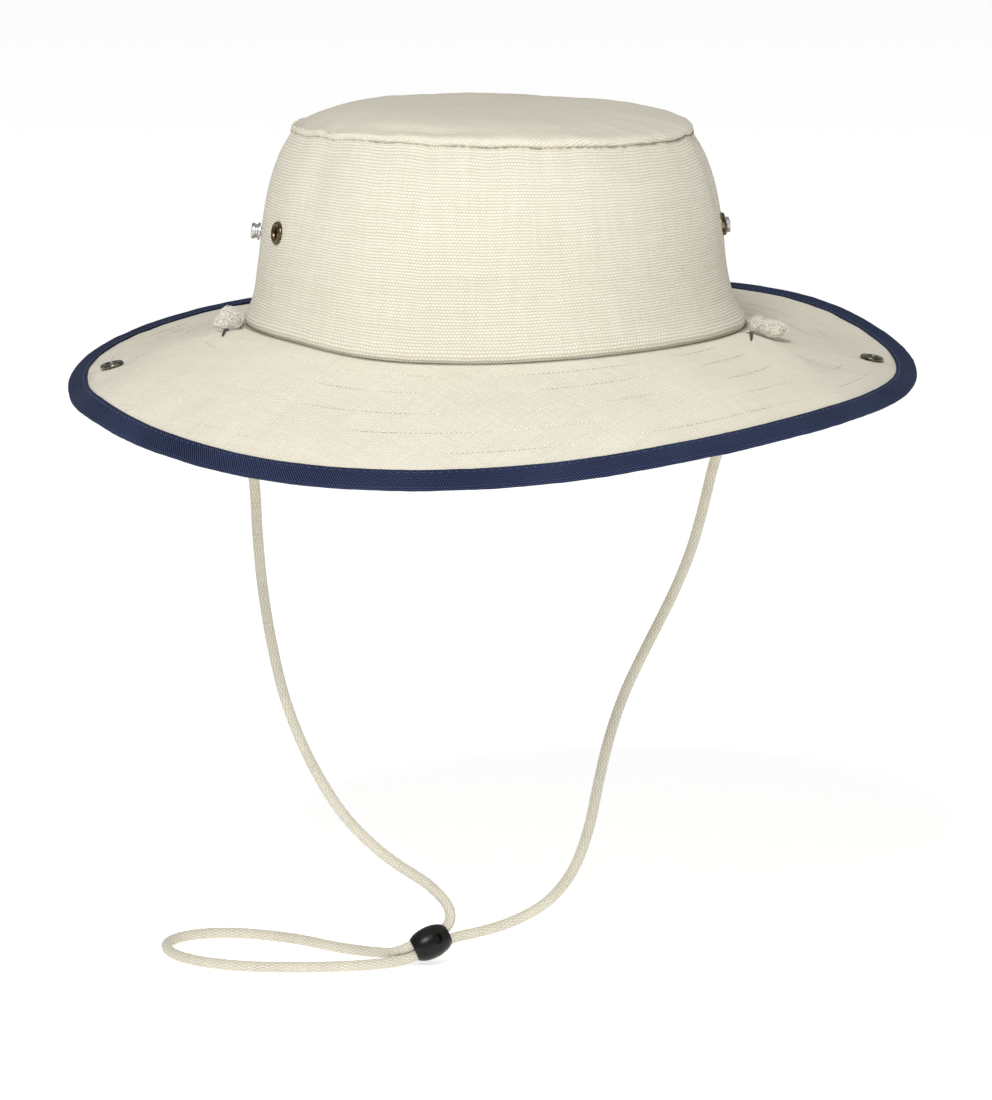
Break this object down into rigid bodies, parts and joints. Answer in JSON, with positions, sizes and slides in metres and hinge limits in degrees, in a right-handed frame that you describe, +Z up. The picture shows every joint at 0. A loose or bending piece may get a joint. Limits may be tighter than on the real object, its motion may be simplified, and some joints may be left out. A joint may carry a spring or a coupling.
{
  "type": "outback hat",
  "caption": "Soft canvas sun hat with a flat-topped crown, a wide drooping brim with a taped rim, side snaps, vent eyelets and a chin cord that hangs in a loop through a sliding lock.",
  "frame": {"origin": "centre of the head opening, level with the front of the seam between crown and brim", "axes": "+Z up out of the crown, -Y the front of the hat, +X its right as seen from the front"},
  "size_m": [0.3124, 0.3187, 0.3226],
  "materials": {
    "crown_canvas": "natural cotton duck",
    "brim_canvas": "natural cotton duck, stitched in rows",
    "navy_tape": "navy twill tape",
    "cord_cotton": "braided cotton",
    "black_plastic": "black, half gloss",
    "silver_metal": "bright plated",
    "dark_metal": "dark antique, worn bright at the rim",
    "aged_brass": "dark antique"
  },
  "bodies": {
    "root": {"brim": "brim_canvas", "brim_binding": "navy_tape", "chin_cord": "cord_cotton", "cord_knot_left": "cord_cotton", "cord_knot_right": "cord_cotton", "cord_lock": "black_plastic", "crown_side": "crown_canvas", "crown_tip": "crown_canvas", "snap_socket_left": "dark_metal", "snap_socket_right": "dark_metal", "snap_stud_left": "silver_metal", "snap_stud_right": "silver_metal", "vent_eyelet_front_left": "aged_brass", "vent_eyelet_front_right": "aged_brass", "vent_eyelet_rear_left": "aged_brass", "vent_eyelet_rear_right": "aged_brass"}
  },
  "joints": []
}
